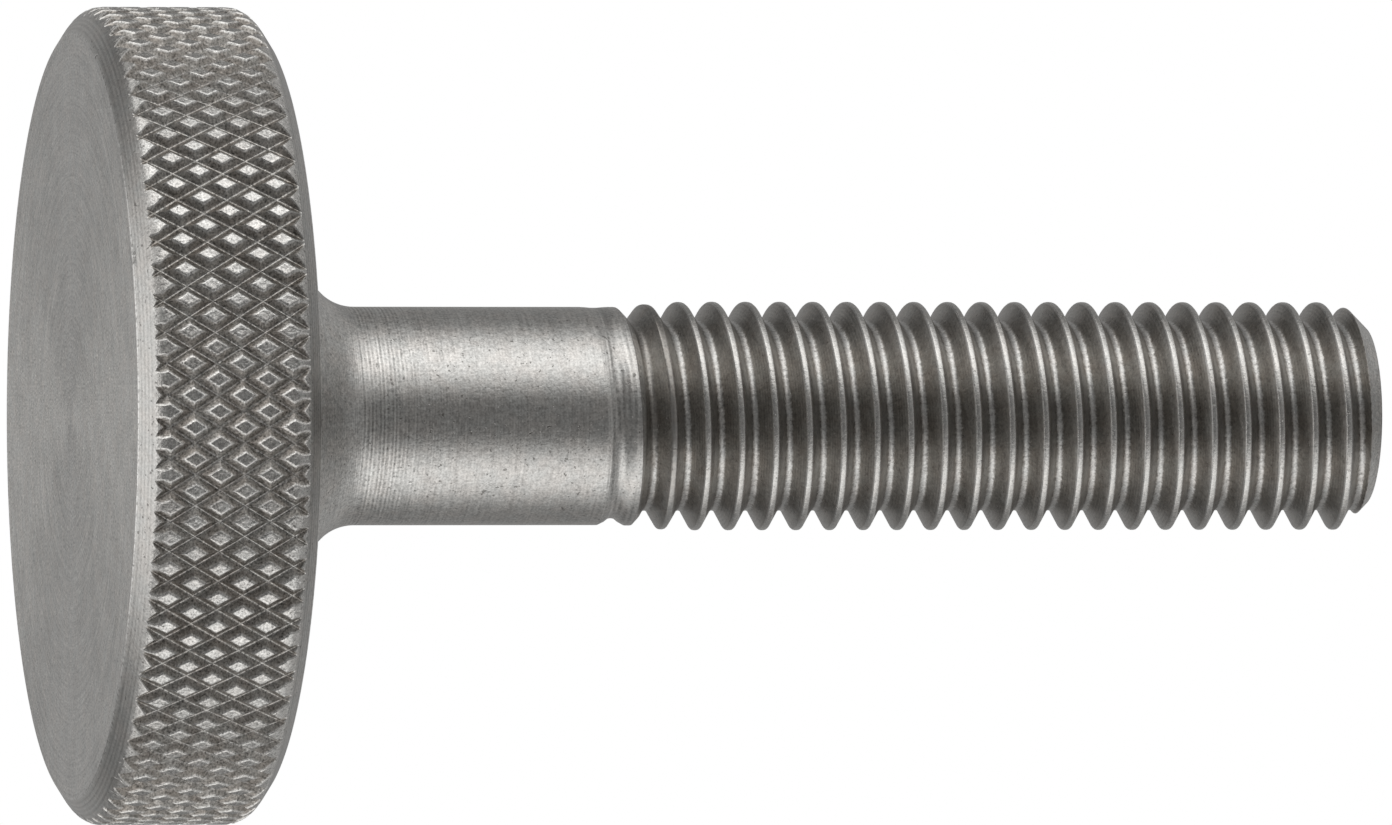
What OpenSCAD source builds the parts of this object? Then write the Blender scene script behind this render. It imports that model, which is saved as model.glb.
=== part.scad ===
// Flat knurled thumb screw, metric coarse thread, turned from one bar.
// The screw stands on its head: the outer face of the head lies on z = 0
// and the axis of the screw is +Z, out to the point of the thread.
// All sizes are in millimetres.

/* [Head] */
// Diameter over the knurled rim
head_d = 35.5; // [24:0.1:48]
// Thickness of the head, from the outer face to the bearing face
head_h = 8.0; // [5:0.1:12]
// Width of the chamfer at the edge of both faces, measured along the face
chamfer_face = 1.18; // [0.4:0.01:1.6]
// Depth of the same chamfer, measured along the axis
chamfer_axial = 0.77; // [0.3:0.01:1.2]
// Radius that rounds the corner where each chamfer meets the knurled rim
corner_r = 1.0; // [0.2:0.05:1.2]

/* [Neck] */
// Height of the conical part of the neck above the bearing face
neck_cone_h = 2.82; // [1:0.01:4]
// Radius of the fillet that runs the neck into the plain shank
neck_fillet_r = 2.3; // [0.8:0.05:4]

/* [Shank] */
// Diameter of the plain shank under the head
shank_d = 9.5; // [7:0.05:9.8]
// Length from the bearing face to the start of the thread
plain_l = 16.3; // [10:0.1:28]
// Length from the bearing face to the flat end of the screw
under_head_l = 49.4; // [36:0.1:90]

/* [Thread] */
// Major diameter of the thread
thread_d = 9.97; // [9.85:0.01:12]
// Diameter of the flat end face
end_d = 7.8; // [6:0.05:8.4]

/* [Hidden] */
$fn = 96;

head_r = head_d / 2;
shank_r = shank_d / 2;
thread_r = thread_d / 2;
end_r = end_d / 2;

// Angle of the chamfer from the axis, and the centre of the arc that
// rounds its corner with the rim
chamfer_a = atan(chamfer_face / chamfer_axial);
corner_c_r = head_r - corner_r;
corner_c_z = chamfer_axial + corner_r * tan(chamfer_a / 2);

// The neck leaves the bearing face as a 45 degree cone. The fillet starts
// where the cone ends, tangent to it, and ends tangent to the shank.
fillet_start_z = head_h + neck_cone_h;
fillet_start_r = shank_r + neck_fillet_r * (1 - cos(45));
fillet_end_z = fillet_start_z + neck_fillet_r * sin(45);
cone_base_r = fillet_start_r + neck_cone_h;

thread_z = head_h + plain_l;
top_z = head_h + under_head_l;

// The step up to the thread and the lead at the point are both 45 degrees
step_h = thread_r - shank_r;
lead_h = thread_r - end_r;

// Half section of the head. The rim stands at the diameter over the
// knurl, a chamfer breaks it at both faces, and an arc tangent to both
// rounds the corner between each chamfer and the rim.
module head_section() {
  polygon([
    [0, 0],
    [head_r - chamfer_face, 0],
    [corner_c_r + corner_r * cos(chamfer_a), corner_c_z - corner_r * sin(chamfer_a)],
    [corner_c_r, corner_c_z],
    [head_r, corner_c_z],
    [head_r, head_h - corner_c_z],
    [corner_c_r, head_h - corner_c_z],
    [corner_c_r + corner_r * cos(chamfer_a), head_h - corner_c_z + corner_r * sin(chamfer_a)],
    [head_r - chamfer_face, head_h],
    [0, head_h]
  ]);
  for (z = [corner_c_z, head_h - corner_c_z])
    translate([corner_c_r, z])
      circle(r = corner_r);
}

// Half section of the neck: a 45 degree cone, then a round fillet
module neck_section() {
  polygon([
    [0, head_h],
    [cone_base_r, head_h],
    [fillet_start_r, fillet_start_z],
    [0, fillet_start_z]
  ]);
  difference() {
    translate([0, fillet_start_z])
      square([fillet_start_r, fillet_end_z - fillet_start_z]);
    translate([shank_r + neck_fillet_r, fillet_end_z])
      circle(r = neck_fillet_r);
  }
}

// Outside form of one turned piece of the head and the neck
module head_and_neck() {
  rotate_extrude() head_section();
  rotate_extrude() neck_section();
}

// Plain shank between the neck and the thread
module plain_shank() {
  translate([0, 0, fillet_end_z])
    cylinder(r = shank_r, h = thread_z - fillet_end_z);
}

// Thread at its major diameter, with the step up from the shank below it
// and the lead chamfer at the point
module threaded_stem() {
  translate([0, 0, thread_z])
    cylinder(r1 = shank_r, r2 = thread_r, h = step_h);
  translate([0, 0, thread_z + step_h])
    cylinder(r = thread_r, h = top_z - lead_h - thread_z - step_h);
  translate([0, 0, top_z - lead_h])
    cylinder(r1 = thread_r, r2 = end_r, h = lead_h);
}

module thumb_screw() {
  color("#a8a8a4")
    union() {
      head_and_neck();
      plain_shank();
      threaded_stem();
    }
}

thumb_screw();
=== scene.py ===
import math
import bisect
import bpy
import numpy as np
from mathutils import Matrix, Vector


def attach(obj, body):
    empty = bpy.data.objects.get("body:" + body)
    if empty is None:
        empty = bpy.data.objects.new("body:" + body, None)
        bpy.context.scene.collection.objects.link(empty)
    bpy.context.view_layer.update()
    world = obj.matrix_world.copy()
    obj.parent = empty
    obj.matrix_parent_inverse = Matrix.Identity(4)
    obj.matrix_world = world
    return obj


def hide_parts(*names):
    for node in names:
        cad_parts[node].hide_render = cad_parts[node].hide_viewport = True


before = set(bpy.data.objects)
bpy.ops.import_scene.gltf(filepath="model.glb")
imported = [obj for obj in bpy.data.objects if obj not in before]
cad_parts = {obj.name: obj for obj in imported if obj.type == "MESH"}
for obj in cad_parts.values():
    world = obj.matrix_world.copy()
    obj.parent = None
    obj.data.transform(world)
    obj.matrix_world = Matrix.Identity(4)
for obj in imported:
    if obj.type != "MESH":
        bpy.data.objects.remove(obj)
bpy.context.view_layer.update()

# ---------------------------------------------------------------- sizes (mm)
HEAD_R, HEAD_H = 17.75, 8.0
CH_FACE, CH_AX = 1.18, 0.77          # chamfer: along the face, along the axis
CORNER_R = 1.0                       # arc between each chamfer and the rim
NECK_CONE_H, FILLET_R = 2.82, 2.3
SHANK_R = 4.75
TOP_Z = 57.4
THREAD_R, END_R, PITCH = 4.985, 3.9, 1.5
ROOT_R = 4.12                        # bottom of the rounded thread root

# ------------------------------------------------------- parametric surfaces
# Every vertex is (turn, z, r): turn is the share of a full turn round +Z.
# A triangle runs anticlockwise in (turn, profile), so its normal is outward.


class Shell:
    def __init__(self):
        self.p = np.zeros((0, 3))
        self.t = np.zeros((0, 3), int)

    def add_points(self, pts):
        n = len(self.p)
        self.p = np.vstack([self.p, np.asarray(pts, float).reshape(-1, 3)])
        return np.arange(n, len(self.p))

    def add_tris(self, tris):
        self.t = np.vstack([self.t, np.asarray(tris, int).reshape(-1, 3)])

    def ring(self, r, z, n, shift=0.0):
        k = (np.arange(n) + shift) / n
        return self.add_points(np.column_stack([k, np.full(n, z), np.full(n, r)]))

    def zip(self, low, high):
        """Joins two closed rings of vertices, each in order of turn."""
        a = sorted(low, key=lambda i: self.p[i, 0] % 1.0)
        b = sorted(high, key=lambda i: self.p[i, 0] % 1.0)
        ta = [self.p[i, 0] % 1.0 for i in a]
        tb = [self.p[i, 0] % 1.0 for i in b]
        na, nb = len(a), len(b)
        ta += [x + 1.0 for x in ta[:2]]
        tb += [x + 1.0 for x in tb[:2]]
        i = j = 0
        out = []
        while i < na or j < nb:
            if j >= nb or (i < na and ta[i + 1] <= tb[j + 1]):
                out.append((a[i % na], a[(i + 1) % na], b[j % nb]))
                i += 1
            else:
                out.append((a[i % na], b[(j + 1) % nb], b[j % nb]))
                j += 1
        self.add_tris(out)

    def cap(self, ring, r_z, below):
        c = self.add_points([(0.0, r_z, 0.0)])[0]
        s = sorted(ring, key=lambda i: self.p[i, 0] % 1.0)
        n = len(s)
        if below:
            self.add_tris([(c, s[(k + 1) % n], s[k]) for k in range(n)])
        else:
            self.add_tris([(s[k], s[(k + 1) % n], c) for k in range(n)])


def split(p, t, f):
    """Cuts the triangles along f = 0. Returns the points, the triangles and
    the sign of each triangle's side."""
    f = np.where(np.abs(f) < 1e-3, 0.0, f)      # a micrometre, so no slivers
    s = np.sign(f[t])
    mixed = (s.max(1) > 0) & (s.min(1) < 0)
    keep, cut = t[~mixed], t[mixed]
    side = np.where(s[~mixed].sum(1) >= 0, 1, -1)
    new, cache, tris, sides = [], {}, [], []
    base = len(p)

    def mid(a, b):
        k = (a, b) if a < b else (b, a)
        if k not in cache:
            a, b = k
            w = f[a] / (f[a] - f[b])
            d = (p[b, 0] - p[a, 0] + 0.5) % 1.0 - 0.5
            cache[k] = base + len(new)
            new.append(((p[a, 0] + w * d) % 1.0, p[a, 1] + w * (p[b, 1] - p[a, 1]), p[a, 2] + w * (p[b, 2] - p[a, 2])))
        return cache[k]

    for tri in cut.tolist():
        v = [float(f[i]) for i in tri]
        zero = [k for k in range(3) if v[k] == 0.0]
        if zero:
            k = zero[0]
            a, b, c = tri[k], tri[(k + 1) % 3], tri[(k + 2) % 3]
            m = mid(b, c)
            tris += [(a, b, m), (a, m, c)]
            sides += [1 if f[b] > 0 else -1, 1 if f[c] > 0 else -1]
            continue
        k = [i for i in range(3) if (v[i] > 0) != (v[(i + 1) % 3] > 0) and (v[i] > 0) != (v[(i + 2) % 3] > 0)][0]
        a, b, c = tri[k], tri[(k + 1) % 3], tri[(k + 2) % 3]
        m, n = mid(a, b), mid(a, c)
        tris += [(a, m, n), (m, b, c), (m, c, n)]
        sides += [1 if f[a] > 0 else -1] + [1 if f[b] > 0 else -1] * 2
    if new:
        p = np.vstack([p, np.array(new)])
        keep = np.vstack([keep, np.array(tris, int)])
        side = np.concatenate([side, np.array(sides, int)])
    return p, keep, side


def boundary(t):
    """Vertices on open edges."""
    e = np.vstack([t[:, [0, 1]], t[:, [1, 2]], t[:, [2, 0]]])
    k = np.sort(e, 1)
    u, inv, n = np.unique(k, axis=0, return_inverse=True, return_counts=True)
    return np.unique(u[n == 1])


def compact(p, t):
    used, inv = np.unique(t, return_inverse=True)
    return p[used], inv.reshape(t.shape)


def weld(p, t, tol=3e-4):
    """Collapses the edges shorter than tol, which the cuts can leave."""
    e = np.unique(np.sort(np.vstack([t[:, [0, 1]], t[:, [1, 2]], t[:, [2, 0]]]), 1), axis=0)
    turn = (p[e[:, 1], 0] - p[e[:, 0], 0] + 0.5) % 1.0 - 0.5
    gap = np.column_stack([turn * 2 * math.pi * p[e[:, 0], 2], p[e[:, 1], 1:] - p[e[:, 0], 1:]])
    to = np.arange(len(p))
    for a, b in e[np.linalg.norm(gap, axis=1) < tol].tolist():
        while to[a] != a:
            a = to[a]
        while to[b] != b:
            b = to[b]
        to[max(a, b)] = min(a, b)
    while (to[to] != to).any():
        to = to[to]
    t = to[t]
    return compact(p, t[(t[:, 0] != t[:, 1]) & (t[:, 1] != t[:, 2]) & (t[:, 2] != t[:, 0])])


# ------------------------------------------------------------------ the knurl
# Two families of helical grooves cross, 79 of one hand and 82 of the other,
# so the rows of diamonds drift slowly along the rim, as rolled knurls do.
NP, NQ, KN_PITCH_Z = 79, 82, 2.17
PH_P, PH_Q = -0.156, -0.291
DEPTH, LIP = 0.285, 0.010
KN_R = HEAD_R - 0.004 - LIP
# Each diamond is a nest of frames. A frame has its place in from the middle of
# the groove, as a share of the groove spacing, its depth, and any points along
# its sides: a narrow flat bottom, a 45 degree wall, a rounded shoulder and a
# low burr round a flat top.
FRAMES = [(0.0, DEPTH, []), (0.026, 0.975 * DEPTH, []), (0.258, 0.095 * DEPTH, []),
          (0.290, 0.0, [0.395, 1.0 - 0.395]), (0.322, -LIP, [0.395, 1.0 - 0.395]), (0.395, 0.0, [])]


CH_A = math.atan(CH_FACE / CH_AX)
ARC_Z = CH_AX + CORNER_R * math.tan(CH_A / 2)      # the arc's centre and its
ARC_Z0 = ARC_Z - CORNER_R * math.sin(CH_A)         # foot on the chamfer


def hull_r(z):
    """Radius of the head's section: chamfer, rounded corner, rim."""
    d = np.minimum(z, HEAD_H - z)
    arc = HEAD_R - CORNER_R + np.sqrt(np.maximum(CORNER_R ** 2 - np.minimum(d - ARC_Z, 0.0) ** 2, 1e-9))
    return np.where(d < ARC_Z0, HEAD_R - CH_FACE + d * CH_FACE / CH_AX, arc)


def knurl_patch(z_lo, z_hi):
    tot = NP + NQ
    pts, index, tris = [], {}, []

    def node(i, a, j, b, depth):
        if a == 1.0:
            i, a = i + 1, 0.0
        if b == 1.0:
            j, b = j + 1, 0.0
        turns = (i + j) // tot
        i, j = i - turns * NP, j - turns * NQ
        k = (i, a, j, b)
        if k not in index:
            p, q = i + a - PH_P, j + b - PH_Q
            t = (p + q) / tot
            index[k] = len(pts)
            pts.append((t % 1.0, KN_PITCH_Z * (p - NP * t), KN_R - depth))
        return index[k]

    def strip(outer, inner, po, pi):
        m = n = 0
        while m < len(outer) - 1 or n < len(inner) - 1:
            if m < len(outer) - 1 and (n == len(inner) - 1 or po[m + 1] <= pi[n + 1]):
                tris.append((outer[m], inner[n], outer[m + 1]))
                m += 1
            else:
                tris.append((outer[m], inner[n], inner[n + 1]))
                n += 1

    for s in range(tot):
        mid = NP * s / tot
        for i in range(int(math.floor(z_lo / KN_PITCH_Z + mid)) - 3, int(math.ceil(z_hi / KN_PITCH_Z + mid)) + 3):
            j = s - i
            corners = []
            for di, dj in ((0, 0), (1, 0), (0, 1), (1, 1)):
                p, q = i + di - PH_P, j + dj - PH_Q
                corners.append(KN_PITCH_Z * (p - NP * (p + q) / tot))
            if max(corners) < z_lo or min(corners) > z_hi:
                continue
            nest = []
            for h, depth, more in FRAMES:
                at = [h] + more + [1.0 - h]
                sides = ([(x, h) for x in at], [(1.0 - h, x) for x in at],
                         [(x, 1.0 - h) for x in reversed(at)], [(h, x) for x in reversed(at)])
                nest.append((at, [[node(i, a, j, b, depth) for a, b in side] for side in sides]))
            for (po, outer), (pi, inner) in zip(nest, nest[1:]):
                for o, n in zip(outer, inner):
                    strip(o, n, po, pi)
            c = [side[0] for side in nest[-1][1]]
            tris.append((c[0], c[2], c[1]))
            tris.append((c[0], c[3], c[2]))
    p, t = np.array(pts), np.array(tris, int)
    # the rim is cut along a few rings, so that the corner's arc is followed
    cuts = [ARC_Z - CORNER_R * math.sin(CH_A * k / 3) for k in range(4)]
    for z in cuts + [HEAD_H - c for c in cuts]:
        p, t, side = split(p, t, p[:, 1] - z)
    # the chamfers and their arcs cut the knurl, and leave deeper grooves
    p, t, side = split(p, t, p[:, 2] - (hull_r(p[:, 1]) - 0.004))
    up = np.unique(t[side > 0])
    p[up, 2] = np.minimum(p[up, 2], hull_r(p[up, 1]) - 0.004)
    for z, s in ((z_lo, 1), (z_hi, -1)):
        p, t, side = split(p, t, s * (p[:, 1] - z))
        t = t[side > 0]
    return compact(p, t)


# ----------------------------------------------------------------- the thread
def thread_profile():
    """(place along one pitch, radius), from the middle of a crest."""
    rc, half = THREAD_R - 0.004, PITCH / 2
    pts = [(0.0, rc), (0.060, rc - 0.001), (0.096, rc - 0.011), (0.132, rc - 0.043)]
    pts += [(0.40, None), (half - 0.2165, ROOT_R + 0.125), (half - 0.1607, ROOT_R + 0.0585), (half - 0.0855, ROOT_R + 0.0151)]
    # the point half way down the flank lies on its straight line
    (z0, r0), (z1, r1) = pts[3], pts[5]
    pts[4] = (0.40, r0 + (r1 - r0) * (0.40 - z0) / (z1 - z0))
    return pts + [(half, ROOT_R)] + [(PITCH - z, r) for z, r in reversed(pts[1:])]


def smooth(x, a, b):
    x = np.clip((x - a) / (b - a), 0.0, 1.0)
    return x * x * (3 - 2 * x)


def thread_patch(z_lo, z_hi, crest_z0, m=76):
    prof = thread_profile()
    kp = len(prof)
    k_lo = int(math.floor((z_lo - crest_z0 - PITCH) / PITCH)) * kp - 1
    k_hi = int(math.ceil((z_hi - crest_z0) / PITCH)) * kp + 1
    nk = k_hi - k_lo + 1
    pts = np.zeros((m, nk, 3))
    for k in range(k_lo, k_hi + 1):
        turn, kk = divmod(k, kp)
        s, r = prof[kk]
        top = crest_z0 + turn * PITCH + PITCH * np.arange(m) / m
        z = top + s
        dr = r - SHANK_R
        # the groove deepens over its first turn, the crest rises over two
        if dr < 0:
            w = np.interp(top + PITCH / 2, [22.85, 23.05, 23.8, 24.55], [0.0, 0.06, 0.47, 1.0])
        else:
            w = np.interp(top + (PITCH if s > PITCH / 2 else 0.0), [24.4, 25.3, 26.05, 26.8, 27.5], [0.0, 0.5, 0.82, 0.95, 1.0])
        pts[:, k - k_lo, 0] = np.arange(m) / m
        pts[:, k - k_lo, 1] = z
        pts[:, k - k_lo, 2] = SHANK_R + w * dr
    p = pts.reshape(-1, 3)
    tris = []
    for j in range(m):
        for k in range(nk - 1):
            if j + 1 < m:
                b0, b1 = (j + 1) * nk + k, (j + 1) * nk + k + 1
            else:
                if k + 1 + kp >= nk:
                    continue
                b0, b1 = k + kp, k + 1 + kp
            a0, a1 = j * nk + k, j * nk + k + 1
            tris.append((a0, b0, b1))
            tris.append((a0, b1, a1))
    t = np.array(tris, int)
    line = lambda z: END_R + (TOP_Z - z)
    p, t, side = split(p, t, p[:, 2] - line(p[:, 1]))
    up = np.unique(t[side > 0])
    p[up, 2] = np.minimum(p[up, 2], line(p[up, 1]))
    for z, s in ((z_lo, 1), (z_hi, -1)):
        p, t, side = split(p, t, s * (p[:, 1] - z))
        t = t[side > 0]
    return compact(p, t)


# --------------------------------------------------------------- the assembly
def build_screw():
    sh = Shell()
    n_head = 288
    z1, z2 = 0.42, HEAD_H - 0.42
    ch = lambda z: HEAD_R - CH_FACE + z * CH_FACE / CH_AX
    # outer face, a softened edge, then the chamfer
    rings = [(3.0, 0.0), (9.0, 0.0), (14.0, 0.0), (HEAD_R - CH_FACE - 0.07, 0.0), (HEAD_R - CH_FACE - 0.012, 0.0),
             (HEAD_R - CH_FACE + 0.004, 0.014), (ch(0.05), 0.05), (ch(z1 - 0.03), z1 - 0.03)]
    rs = [sh.ring(r, z, n_head) for r, z in rings]
    sh.cap(rs[0], 0.0, True)
    for a, b in zip(rs, rs[1:]):
        sh.zip(a, b)
    kp, kt = knurl_patch(z1, z2)
    off = sh.add_points(kp)[0]
    sh.add_tris(kt + off)
    edge = boundary(kt)
    low = [off + i for i in edge if abs(kp[i, 1] - z1) < 0.01]
    high = [off + i for i in edge if abs(kp[i, 1] - z2) < 0.01]
    sh.zip(rs[-1], low)
    # back chamfer, bearing face, cone, fillet and shank
    hs = HEAD_H
    fz0 = hs + NECK_CONE_H
    fr0 = SHANK_R + FILLET_R * (1 - math.cos(math.radians(45)))
    fz1 = fz0 + FILLET_R * math.sin(math.radians(45))
    cb = fr0 + NECK_CONE_H
    back = [(ch(z1 - 0.03), hs - z1 + 0.03), (ch(0.05), hs - 0.05), (HEAD_R - CH_FACE + 0.012, hs - 0.026),
            (HEAD_R - CH_FACE - 0.022, hs - 0.005), (HEAD_R - CH_FACE - 0.07, hs)]
    rb = [sh.ring(r, z, n_head) for r, z in back]
    sh.zip(high, rb[0])
    for a, b in zip(rb, rb[1:]):
        sh.zip(a, b)
    n_neck = 144
    neck = [(cb + 0.9, hs), (cb + 0.22, hs), (cb + 0.05, hs + 0.02), (cb - 0.08, hs + 0.09)]
    neck += [(cb - 0.2 - k * (cb - fr0 - 0.2) / 3, hs + 0.2 + k * (cb - fr0 - 0.2) / 3) for k in range(3)]
    for k in range(0, 13):
        a = math.radians(45 * (1 - k / 12))
        neck.append((SHANK_R + FILLET_R * (1 - math.cos(a)), fz1 - FILLET_R * math.sin(a)))
    for z in (13.5, 15.0, 17.0, 18.5, 20.0, 21.5):
        neck.append((SHANK_R, z))
    neck.append((SHANK_R, 21.9))
    last = rb[-1]
    for k, (r, z) in enumerate(neck):
        ring = sh.ring(r, z, n_neck if z < 21.8 else 96)
        sh.zip(last, ring)
        last = ring
    tz0, tz1 = 22.0, TOP_Z - 0.03
    tp, tt = thread_patch(tz0, tz1, THREAD_CREST)
    off = sh.add_points(tp)[0]
    sh.add_tris(tt + off)
    edge = boundary(tt)
    low = [off + i for i in edge if abs(tp[i, 1] - tz0) < 0.01]
    high = [off + i for i in edge if abs(tp[i, 1] - tz1) < 0.01]
    sh.zip(last, low)
    ends = [(END_R + 0.012, TOP_Z - 0.012), (END_R - 0.03, TOP_Z), (2.6, TOP_Z), (1.2, TOP_Z)]
    last = high
    for r, z in ends:
        ring = sh.ring(r, z, 96)
        sh.zip(last, ring)
        last = ring
    sh.cap(last, TOP_Z, False)
    sh.p, sh.t = weld(sh.p, sh.t)
    return sh


# height of a crest at turn 0
THREAD_CREST = 24.55

screw = build_screw()
ang = 2 * math.pi * screw.p[:, 0]
co = np.column_stack([screw.p[:, 2] * np.cos(ang), screw.p[:, 2] * np.sin(ang), screw.p[:, 1]]) * 0.001
me = bpy.data.meshes.new("thumb_screw_turned")
tri = screw.t
me.vertices.add(len(co))
me.vertices.foreach_set("co", co.ravel())
me.loops.add(len(tri) * 3)
me.loops.foreach_set("vertex_index", tri.ravel())
me.polygons.add(len(tri))
me.polygons.foreach_set("loop_start", np.arange(0, len(tri) * 3, 3))
me.update()
me.validate()
piece = bpy.data.objects.new("thumb_screw_turned", me)
bpy.context.scene.collection.objects.link(piece)
me.polygons.foreach_set("use_smooth", np.ones(len(me.polygons), bool))
me.set_sharp_from_angle(angle=math.radians(24))
me.update()


def unfold():
    """A UV map laid out in millimetres on a square sheet: both faces of the head as discs, its rim as three strips,
    the stem as one sheet."""
    turn, z, r = (screw.p[tri, k] for k in range(3))
    mid = turn[:, :1]
    turn = mid + (turn - mid + 0.5) % 1.0 - 0.5
    turn = turn - np.floor(turn.mean(1, keepdims=True))
    zc, rc = z.mean(1), r.mean(1)
    a = 2 * math.pi * turn
    u, v = np.zeros_like(turn), np.zeros_like(turn)
    face = (zc < 0.006) & (rc < HEAD_R - CH_FACE)
    back = (zc > HEAD_H - 0.004) & (zc < HEAD_H + NECK_CONE_H) & ~face
    tip = (zc > TOP_Z - 0.02) & (rc < END_R + 0.01)
    rim = (zc < HEAD_H) & ~face & ~back
    stem = ~(face | back | tip | rim)
    for m, cu, cv in ((face, 17.2, 17.2), (back, 51.3, 17.2), (tip, 52.0, 61.2)):
        u[m] = cu + r[m] * np.cos(a[m])
        v[m] = cv + r[m] * np.sin(a[m])
    span = 2 * math.pi * HEAD_R
    low = HEAD_R - CH_FACE
    up = (z - 0.9) + np.where(z < CH_AX, (r - HEAD_R) * 0.45, 0.0) - np.where(z > HEAD_H - CH_AX, (r - HEAD_R) * 0.45, 0.0)
    tc_ = turn.mean(1)
    for lo, hi, cu, cv, flat in ((0.0, 0.6, 0.6, 65.9, True), (0.6, 0.8, 48.3, 35.0, False), (0.8, 1.01, 58.3, 35.0, False)):
        m = rim & (tc_ >= lo) & (tc_ < hi)
        s_, w_ = (turn[m] - lo) * span, up[m] + 1.5
        u[m], v[m] = (cu + s_, cv + w_) if flat else (cu + w_, cv + s_)
    u[stem] = 0.6 + (z[stem] - HEAD_H - NECK_CONE_H)
    v[stem] = 35.2 + turn[stem] * 2 * math.pi * SHANK_R
    layer = me.uv_layers.new(name="OFBake")
    uv = np.column_stack([u.ravel(), v.ravel()]) / 75.4
    layer.data.foreach_set("uv", uv.ravel())
    print("uv", uv.min(0), uv.max(0))


unfold()
print("tris", len(me.polygons), "verts", len(me.vertices))
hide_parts("thumb_screw")
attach(piece, "root")


# ------------------------------------------------------------------ material
class Nodes:
    def __init__(self, tree):
        self.t = tree
        tree.nodes.clear()

    def new(self, kind, **props):
        n = self.t.nodes.new(kind)
        for k, v in props.items():
            setattr(n, k, v)
        return n

    def link(self, a, b):
        self.t.links.new(a, b)

    def put(self, socket, v):
        if isinstance(v, bpy.types.NodeSocket):
            self.link(v, socket)
        elif v is not None:
            socket.default_value = v

    def math(self, op, a, b=None, c=None, clamp=False):
        n = self.new("ShaderNodeMath", operation=op, use_clamp=clamp)
        self.put(n.inputs[0], a)
        self.put(n.inputs[1], b)
        self.put(n.inputs[2], c)
        return n.outputs[0]

    def remap(self, v, a, b, c=0.0, d=1.0, smooth=True):
        n = self.new("ShaderNodeMapRange", interpolation_type="SMOOTHSTEP" if smooth else "LINEAR")
        self.put(n.inputs["Value"], v)
        for k, x in zip(("From Min", "From Max", "To Min", "To Max"), (a, b, c, d)):
            n.inputs[k].default_value = x
        return n.outputs["Result"]

    def noise(self, vec, scale, detail=2.0, rough=0.5, dim="3D", w=None):
        n = self.new("ShaderNodeTexNoise", noise_dimensions=dim)
        if vec is not None:
            self.link(vec, n.inputs["Vector"])
        if w is not None:
            self.link(w, n.inputs["W"])
        n.inputs["Scale"].default_value = scale
        n.inputs["Detail"].default_value = detail
        n.inputs["Roughness"].default_value = rough
        return n.outputs["Fac"]

    def xyz(self, x, y, z):
        n = self.new("ShaderNodeCombineXYZ")
        for k, v in zip("XYZ", (x, y, z)):
            self.put(n.inputs[k], v)
        return n.outputs[0]

    def mixc(self, f, a, b, mode="MIX"):
        n = self.new("ShaderNodeMix", data_type="RGBA", blend_type=mode)
        self.put(n.inputs[0], f)
        self.put(n.inputs[6], a)
        self.put(n.inputs[7], b)
        return n.outputs[2]


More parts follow.
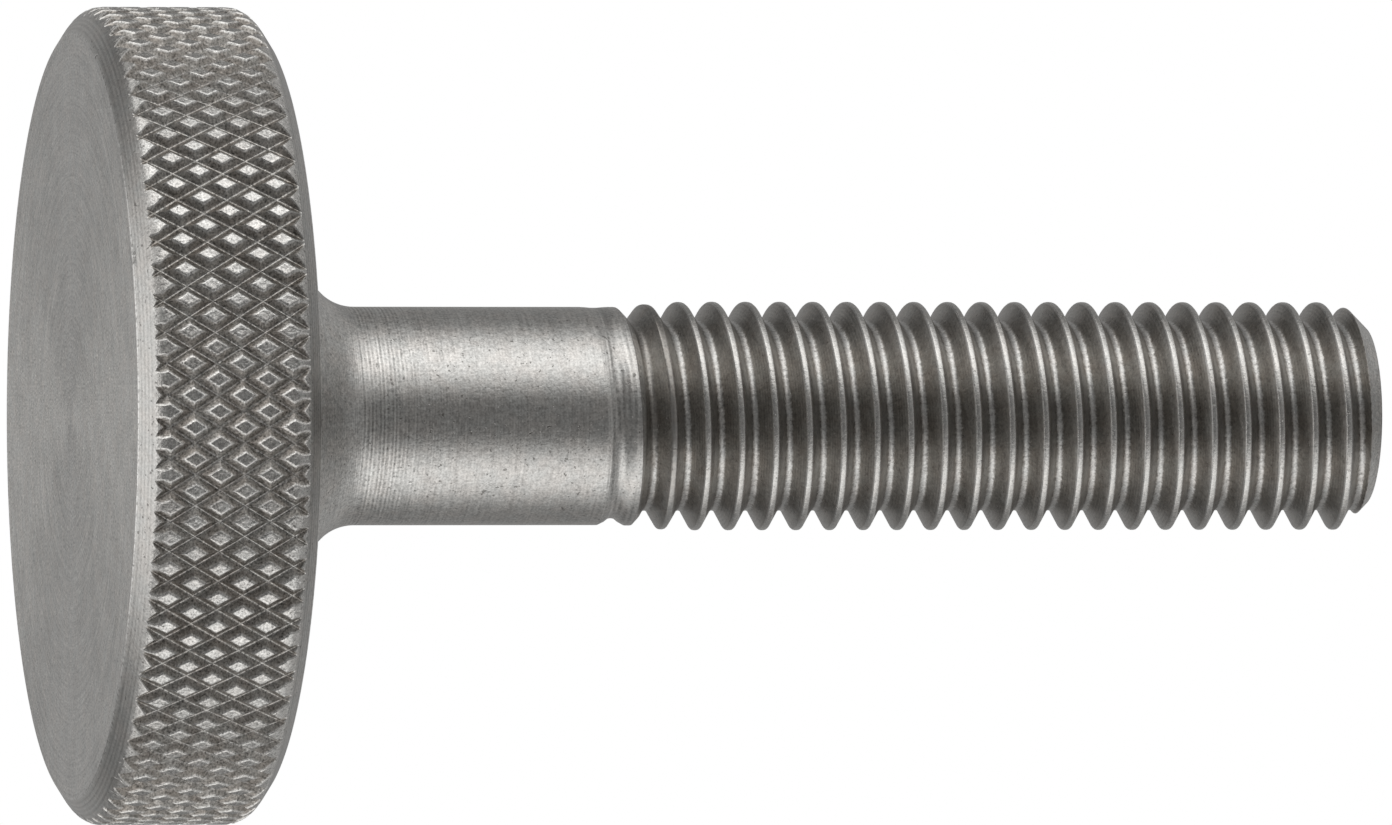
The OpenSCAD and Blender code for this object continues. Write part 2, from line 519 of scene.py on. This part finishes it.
def steel_material():
    m = bpy.data.materials.new("turned_stainless")
    m.use_nodes = True
    N = Nodes(m.node_tree)
    M = N.math
    out = N.new("ShaderNodeOutputMaterial")
    bs = N.new("ShaderNodeBsdfPrincipled")
    N.link(bs.outputs[0], out.inputs[0])
    tc = N.new("ShaderNodeTexCoord")
    sep = N.new("ShaderNodeSeparateXYZ")
    N.link(tc.outputs["Object"], sep.inputs[0])
    x, y, z = (M("MULTIPLY", sep.outputs[k], 1000.0) for k in range(3))  # mm
    r = M("SQRT", M("ADD", M("MULTIPLY", x, x), M("MULTIPLY", y, y)))
    rs = M("MAXIMUM", r, 0.05)
    cx, cy = M("DIVIDE", x, rs), M("DIVIDE", y, rs)
    # a coordinate that runs along the profile: over faces, chamfers and cylinders
    side = M("SUBTRACT", 1.0, M("MULTIPLY", M("GREATER_THAN", z, 4.0), 2.0))
    along = M("ADD", z, M("MULTIPLY", side, r))

    def mul(*v):
        o = v[0]
        for k in v[1:]:
            o = M("MULTIPLY", o, k)
        return o

    def add(*v):
        o = v[0]
        for k in v[1:]:
            o = M("ADD", o, k)
        return o

    def hoop(around, across, detail=2.0, rough=0.55):
        return N.noise(N.xyz(M("MULTIPLY", cx, around), M("MULTIPLY", cy, around), mul(along, across)), 1.0, detail, rough)

    def band(v, a0, a1, b0, b1):
        return mul(N.remap(v, a0, a1), N.remap(v, b0, b1, 1.0, 0.0))

    # where things are
    # (kd and td: how deep in a knurl or thread groove, 0 at the crest, 1 at the bottom)
    deep = M("MINIMUM", z, M("SUBTRACT", HEAD_H, z))
    short = M("MINIMUM", M("SUBTRACT", deep, ARC_Z), 0.0)
    arc_r = M("ADD", M("SQRT", M("MAXIMUM", M("SUBTRACT", CORNER_R ** 2, mul(short, short)), 0.0)), HEAD_R - CORNER_R)
    cone_r = M("MULTIPLY_ADD", deep, CH_FACE / CH_AX, HEAD_R - CH_FACE)
    on_arc = M("GREATER_THAN", deep, ARC_Z0)
    hull = add(mul(arc_r, on_arc), mul(cone_r, M("SUBTRACT", 1.0, on_arc)), -0.008)
    head = N.remap(z, HEAD_H + 0.1, HEAD_H, 0.0, 1.0, smooth=False)
    outer = mul(N.remap(r, 16.6, 16.7, smooth=False), head)
    kd = mul(M("DIVIDE", M("SUBTRACT", hull, r), DEPTH), outer)
    rim = mul(outer, band(z, 0.55, 0.70, 7.30, 7.45))
    # how far inside the end chamfer: the last groove cuts through it
    inside = M("SUBTRACT", M("SUBTRACT", END_R + TOP_Z, z), r)
    last = mul(N.remap(z, 56.2, 56.35), N.remap(r, 3.95, 4.0))
    thr = mul(N.remap(z, 24.3, 25.2), N.remap(r, 3.95, 4.1), M("MAXIMUM", N.remap(z, 56.6, 56.3), N.remap(inside, 0.010, 0.040)))
    td = mul(M("DIVIDE", M("SUBTRACT", THREAD_R - 0.006, r), THREAD_R - ROOT_R), thr)
    plain = M("SUBTRACT", 1.0, M("MAXIMUM", rim, thr))
    neck = band(z, 8.1, 8.6, 14.0, 18.5)
    face = M("LESS_THAN", z, 0.004)
    lip = mul(N.remap(r, 16.5, 16.6), M("SUBTRACT", 1.0, rim), N.remap(z, 9.0, 8.5))

    body = N.xyz(x, y, z)
    # marks of the lathe tool: a steady feed, its lines uneven round the axis
    wander = hoop(1.3, 1.6, 2.0)
    feed = M("SINE", add(mul(along, 6.28319 / 0.131), mul(wander, 5.0)))
    turned = M("SINE", add(mul(along, 6.28319 / 0.30), mul(wander, 4.0)))
    lines = N.remap(hoop(1.0, 7.5, 3.0, 0.66), 0.30, 0.70, smooth=False)
    arcs = hoop(1.8, 2.4, 3.0, 0.6)
    # short marks along the hoops, as long as half a millimetre to two
    brush = N.remap(hoop(mul(r, 1.3), 8.0, 3.0, 0.65), 0.28, 0.72, smooth=False)
    combed = N.remap(hoop(mul(r, 2.6), 5.0, 2.0, 0.6), 0.28, 0.72, smooth=False)
    # grain and speckle of the surface itself
    grain = N.remap(N.noise(body, 5.2, 3.0, 0.62), 0.28, 0.72, smooth=False)
    speck = N.remap(N.noise(body, 10.5, 2.0, 0.6), 0.28, 0.72, smooth=False)
    mott = N.noise(body, 1.1, 3.0, 0.55)
    cloud = N.remap(N.noise(body, 0.42, 3.0, 0.6), 0.30, 0.70, smooth=False)
    pits = N.noise(body, 5.4, 1.0, 0.5)
    pit = N.remap(pits, 0.705, 0.740)
    # two short stretches with clear marks: rings past the neck, and a helix
    # of fine lines where the thread runs out
    rings = mul(M("SINE", add(mul(z, 6.28319 / 0.178), mul(wander, 1.4))), band(z, 11.7, 12.3, 13.6, 14.9), N.remap(hoop(1.6, 0.9, 1.0, 0.5), 0.34, 0.56))
    turn = M("ARCTAN2", y, x)
    helix = M("SUBTRACT", z, mul(turn, PITCH / 6.28319))
    threads = mul(M("SINE", mul(helix, 6.28319 / 0.25)), band(z, 22.8, 23.1, 24.2, 24.7), N.remap(hoop(1.6, 1.2, 1.0, 0.5), 0.34, 0.56))
    # the shoulder where the plain shank ends and the thread begins
    shoulder = mul(band(z, 23.05, 23.12, 23.26, 23.60), add(0.55, mul(lines, 0.9)))
    # short scratches, each set at its own slant to the axis
    arc = mul(turn, r)
    scr = None
    for k, (a, f, g) in enumerate(((0.95, 7.5, 0.85), (-0.62, 8.5, 0.95), (1.35, 9.5, 1.1))):
        ca, sa = math.cos(a), math.sin(a)
        u = add(mul(z, ca), mul(arc, sa))
        v = add(mul(z, -sa), mul(arc, ca))
        n = N.noise(N.xyz(mul(u, f), mul(v, g), 3.7 * k), 1.0, 1.0, 0.5)
        n = N.remap(n, 0.62, 0.72)
        scr = n if scr is None else M("MAXIMUM", scr, n)
    scr = mul(scr, plain)

    # a nick in the edge of the face
    nick = None
    for a, rr, zz, size in ((23.6, 16.62, 0.03, 0.20), (24.7, 16.70, 0.08, 0.12), (69.0, 16.60, 0.02, 0.16)):
        a = math.radians(-90 - a)
        d = N.new("ShaderNodeVectorMath", operation="DISTANCE")
        N.link(body, d.inputs[0])
        d.inputs[1].default_value = (rr * math.cos(a), rr * math.sin(a), zz)
        n = N.remap(add(d.outputs["Value"], mul(M("SUBTRACT", speck, 0.5), 0.12)), size, size * 0.35)
        nick = n if nick is None else M("MAXIMUM", nick, n)

    # colour: grey steel, warmer in patches; painted shade darkens and browns the grooves
    warm = N.remap(mott, 0.35, 0.68)
    col = N.mixc(warm, (0.610, 0.606, 0.590, 1.0), (0.632, 0.612, 0.588, 1.0))
    dev = add(mul(grain, 0.26), mul(lines, 0.18), mul(speck, 0.36), mul(brush, 0.08), mul(combed, 0.06), -0.47)
    dev = mul(dev, add(1.35, mul(face, 0.75), mul(neck, 0.25), mul(lip, -0.45), mul(thr, -0.1)))
    dev = add(dev, mul(rim, M("SUBTRACT", speck, 0.45), 0.85), mul(feed, add(mul(neck, 0.035), 0.015)), mul(rings, 0.22), mul(threads, 0.17), mul(shoulder, -0.20), mul(turned, lip, 0.105))
    rear = mul(lip, N.remap(z, 6.5, 7.0))
    ridges = mul(M("SINE", mul(td, 38.0)), band(td, 0.06, 0.16, 0.84, 0.94), N.remap(hoop(1.2, 1.4, 2.0), 0.40, 0.62))
    dev = add(dev, mul(face, M("SUBTRACT", cloud, 0.72), 0.22), mul(rear, -0.22), mul(ridges, 0.11))
    tone = M("MAXIMUM", add(1.0, dev), 0.25)
    col = N.mixc(1.0, col, N.xyz(tone, tone, tone), "MULTIPLY")
    # painted shade: the thread's flanks and roots darker and browner in colour, with a ragged edge
    ragged = add(td, mul(M("SUBTRACT", grain, 0.5), 0.05), mul(M("SUBTRACT", speck, 0.5), 0.03))
    thread_groove_shade = mul(band(ragged, 0.035, 0.12, 0.92, 0.99), add(0.62, mul(mott, 0.45)))
    col = N.mixc(thread_groove_shade, col, N.mixc(1.0, col, (0.522, 0.503, 0.482, 1.0), "MULTIPLY"))
    # painted shade: the knurl's groove walls darker and browner in colour, patchy with the mottle
    knurl_groove_shade = mul(N.remap(kd, 0.10, 0.36), N.remap(kd, 0.80, 0.97, 1.0, 0.55), add(0.45, mul(mott, 0.8)))
    col = N.mixc(knurl_groove_shade, col, N.mixc(1.0, col, (0.46, 0.435, 0.41, 1.0), "MULTIPLY"))
    # lighter edges on the knurl diamonds and thread crests, most on the knurl near the chamfers: partly wear, partly a
    # painted highlight
    edge = band(kd, -0.02, 0.02, 0.10, 0.26)
    edge = M("MAXIMUM", mul(edge, rim), mul(band(td, -0.02, 0.0, 0.02, 0.09), thr))
    # painted highlight: a near-white line where each flat face of the head meets its chamfer
    painted_edge_glint = mul(band(r, HEAD_R - CH_FACE - 0.030, HEAD_R - CH_FACE - 0.010, HEAD_R - CH_FACE + 0.05, HEAD_R - CH_FACE + 0.10), head, N.remap(grain, 0.15, 0.6))
    corner = N.remap(deep, 1.45, 0.95)
    col = N.mixc(mul(edge, add(0.55, mul(thr, -0.34), mul(rim, add(-0.30, mul(corner, 0.45))))), col, (0.74, 0.725, 0.70, 1.0))
    col = N.mixc(mul(painted_edge_glint, 0.8), col, (0.93, 0.92, 0.90, 1.0))
    # painted highlight: a light line where the end chamfer cuts through the last crest
    cut_crest_highlight = mul(band(inside, 0.004, 0.014, 0.035, 0.085), last, N.remap(grain, 0.30, 0.55))
    col = N.mixc(mul(cut_crest_highlight, 0.8), col, (0.86, 0.84, 0.82, 1.0))
    col = N.mixc(mul(pit, add(0.66, mul(thr, -0.42))), col, (0.16, 0.15, 0.14, 1.0))
    col = N.mixc(mul(scr, 0.18), col, (0.30, 0.29, 0.28, 1.0))
    col = N.mixc(mul(nick, 0.45), col, (0.22, 0.21, 0.20, 1.0))
    N.link(col, bs.inputs["Base Color"])
    bs.inputs["Metallic"].default_value = 1.0
    rough = add(0.27, mul(lines, 0.05), mul(grain, 0.05), mul(thread_groove_shade, -0.02), mul(knurl_groove_shade, 0.06), mul(edge, -0.05))
    N.link(rough, bs.inputs["Roughness"])
    bs.inputs["Anisotropic"].default_value = 0.75
    bs.inputs["Anisotropic Rotation"].default_value = 0.25
    tg = N.new("ShaderNodeTangent", direction_type="RADIAL", axis="Z")
    N.link(tg.outputs[0], bs.inputs["Tangent"])

    # relief, in micrometres
    h = mul(feed, add(0.35, mul(neck, 0.5), mul(arcs, 0.5), mul(face, -0.30)), M("SUBTRACT", 1.0, M("MAXIMUM", rim, mul(thr, 0.8))))
    h = add(h, mul(ridges, 0.8), mul(rings, 3.4), mul(threads, 3.8), mul(N.remap(z, 23.04, 23.13), -14.0))
    h = add(h, mul(turned, lip, 1.6), mul(nick, -30.0))
    h = add(h, mul(lines, 2.6), mul(brush, 0.8), mul(combed, 0.9), mul(arcs, add(4.0, mul(face, -2.2))))
    h = add(h, mul(grain, add(3.4, mul(rim, 3.4), mul(thr, 1.6))))
    h = add(h, mul(speck, add(2.0, mul(rim, 4.6), mul(thr, 1.0))))
    h = add(h, mul(pit, -9.0), mul(scr, -1.2))
    bump = N.new("ShaderNodeBump")
    bump.inputs["Strength"].default_value = 1.0
    bump.inputs["Distance"].default_value = 0.000001
    N.link(h, bump.inputs["Height"])
    N.link(bump.outputs[0], bs.inputs["Normal"])
    return m


piece.data.materials.append(steel_material())


# --------------------------------------------------------------------- stage
def build_floor():
    n, rings = 256, [0.01660, 0.020, 0.03, 0.06, 0.12, 0.25, 0.5]
    v, f = [], []
    for r in rings:
        for k in range(n):
            a = 2 * math.pi * k / n
            v.append((r * math.cos(a), r * math.sin(a), 0.0))
    for i in range(len(rings) - 1):
        for k in range(n):
            a, b = i * n + k, i * n + (k + 1) % n
            f.append((a, a + n, b + n, b))
    m = bpy.data.meshes.new("floor")
    m.from_pydata(v, [], f)
    m.update()
    o = bpy.data.objects.new("floor", m)
    bpy.context.scene.collection.objects.link(o)
    mat = bpy.data.materials.new("pale_floor")
    mat.use_nodes = True
    N = Nodes(mat.node_tree)
    out = N.new("ShaderNodeOutputMaterial")
    d = N.new("ShaderNodeBsdfDiffuse")
    d.inputs[0].default_value = (0.86, 0.86, 0.85, 1.0)
    tr = N.new("ShaderNodeBsdfTransparent")
    tc = N.new("ShaderNodeTexCoord")
    ln = N.new("ShaderNodeVectorMath", operation="LENGTH")
    N.link(tc.outputs["Object"], ln.inputs[0])
    fade = N.remap(ln.outputs["Value"], 0.16, 0.46)
    geo = N.new("ShaderNodeNewGeometry")
    f2 = N.math("MAXIMUM", fade, geo.outputs["Backfacing"])
    mix = N.new("ShaderNodeMixShader")
    N.link(f2, mix.inputs[0])
    N.link(d.outputs[0], mix.inputs[1])
    N.link(tr.outputs[0], mix.inputs[2])
    N.link(mix.outputs[0], out.inputs[0])
    o.data.materials.append(mat)
    o.visible_glossy = False
    o.visible_shadow = False
    return o


build_floor()

# The light comes from all round, as in a light tent: two broad soft panels
# either side of the lens, a darker gap between them and a grey tent behind.
world = bpy.data.worlds.new("studio")
bpy.context.scene.world = world
world.use_nodes = True
W = Nodes(world.node_tree)
wo = W.new("ShaderNodeOutputWorld")
tc = W.new("ShaderNodeTexCoord")
sp = W.new("ShaderNodeSeparateXYZ")
W.link(tc.outputs["Generated"], sp.inputs[0])
el = W.math("MULTIPLY", W.math("ARCSINE", W.math("MINIMUM", W.math("MAXIMUM", sp.outputs[2], -1.0), 1.0)), 57.29578)
az = W.math("MULTIPLY", W.math("ARCTAN2", sp.outputs[0], W.math("MULTIPLY", sp.outputs[1], -1.0)), 57.29578)
aaz = W.math("ABSOLUTE", az)


def band(v, a0, a1, b0, b1):
    """1 between a1 and b0, falling smoothly to 0 at a0 and b1."""
    return W.math("MULTIPLY", W.remap(v, a0, a1), W.remap(v, b0, b1, 1.0, 0.0))


def mul(*v):
    out = v[0]
    for x in v[1:]:
        out = W.math("MULTIPLY", out, x)
    return out


def add(*v):
    out = v[0]
    for x in v[1:]:
        out = W.math("ADD", out, x)
    return out


# two soft panels, brightest in the middle, the upper one a little stronger
rise = W.remap(el, 12.0, 52.0, 1.0, 0.0)
fall = W.remap(el, -52.0, -24.0)
tall = mul(rise, fall)
# below the level of the lens they stand further out to the sides
out = W.remap(el, 2.0, -22.0, 0.0, 22.0)
az_a, az_b = add(az, out), W.math("SUBTRACT", az, out)
panel_a = mul(mul(W.remap(az_a, -13.0, -58.0), W.remap(az_a, -56.0, -116.0, 1.0, 0.0)), tall)
panel_b = mul(mul(W.remap(az_b, 15.0, 61.0), W.remap(az_b, 60.0, 119.0, 1.0, 0.0)), tall)
# the tent: grey all round, a little lighter low down at the back
tent = add(0.160, mul(W.remap(aaz, 60.0, 125.0), W.remap(el, -40.0, -8.0, 0.35, 1.0), 0.095))
glow = mul(W.remap(aaz, 150.0, 179.0), W.remap(el, -75.0, -46.0), W.remap(el, -9.0, -24.0))
haze = mul(W.remap(aaz, 142.0, 178.0), W.remap(el, -30.0, -12.0), W.remap(el, 28.0, 8.0))
over = W.math("MULTIPLY", W.math("ARCTAN2", sp.outputs[2], W.math("MULTIPLY", sp.outputs[1], -1.0)), 57.29578)
high = mul(W.remap(el, 14.0, 32.0), W.remap(el, 62.0, 88.0, 1.0, 0.0))
zen = mul(W.remap(over, 84.0, 104.0), W.remap(over, 116.0, 145.0, 1.0, 0.0), W.remap(el, 50.0, 75.0), -0.10)
# a card under the head, out of sight of the lens
card = W.remap(el, -44.0, -71.0)
dip = mul(band(el, -54.0, -43.0, -29.0, -16.0), W.remap(aaz, 118.0, 142.0), -0.06)
flank = mul(band(el, -36.0, -20.0, -4.0, 8.0), band(aaz, 108.0, 126.0, 158.0, 172.0), -0.035)
lum = add(tent, flank, mul(panel_a, 1.36), mul(panel_b, 1.03), mul(glow, 0.28), mul(haze, 0.08), mul(high, 0.13), zen, dip, mul(card, 0.90))
bg = W.new("ShaderNodeBackground")
bg.inputs[0].default_value = (1.0, 0.995, 0.985, 1.0)
W.link(lum, bg.inputs[1])
white = W.new("ShaderNodeBackground")
white.inputs[0].default_value = (1.0, 1.0, 1.0, 1.0)
white.inputs[1].default_value = 1.0
lp = W.new("ShaderNodeLightPath")
ms = W.new("ShaderNodeMixShader")
W.link(lp.outputs["Is Camera Ray"], ms.inputs[0])
W.link(bg.outputs[0], ms.inputs[1])
W.link(white.outputs[0], ms.inputs[2])
W.link(ms.outputs[0], wo.inputs[0])

# A broad overhead light that only matt surfaces see: it lights the floor.
sun = bpy.data.lights.new("overhead", "SUN")
sun.energy = 2.1
sun.angle = math.radians(70)
so = bpy.data.objects.new("overhead", sun)
bpy.context.scene.collection.objects.link(so)
so.rotation_euler = (math.radians(12), math.radians(-10), 0)
so.visible_glossy = False

bpy.context.scene.view_settings.view_transform = "Standard"
bpy.context.scene.view_settings.look = "None"

# -------------------------------------------------------------------- camera
# The lens looks across the screw from 11 degrees below the plane of the head,
# turned on its side so that the head is at the left of the picture.
PX_MM, DIST, ALPHA, ZC, AXIS_Y = 22.95, 1100.0, 11.3, 27.62, 416.0
al = math.radians(ALPHA)
back_v = Vector((0.0, -math.cos(al), -math.sin(al)))
right = Vector((0.0, -math.sin(al), math.cos(al)))
up = back_v.cross(right)
look = Vector((0.0, 0.0, ZC)) + up * ((AXIS_Y - 412.5) / PX_MM)
cam = bpy.data.cameras.new("camera")
cam.sensor_width = 36.0
cam.lens = PX_MM * DIST * 36.0 / 1392.0
cam.clip_start, cam.clip_end = 0.01, 10.0
co_ = bpy.data.objects.new("camera", cam)
bpy.context.scene.collection.objects.link(co_)
rot = Matrix((right, up, back_v)).transposed()
co_.matrix_world = Matrix.Translation((look + back_v * DIST) * 0.001) @ rot.to_4x4()
bpy.context.scene.camera = co_
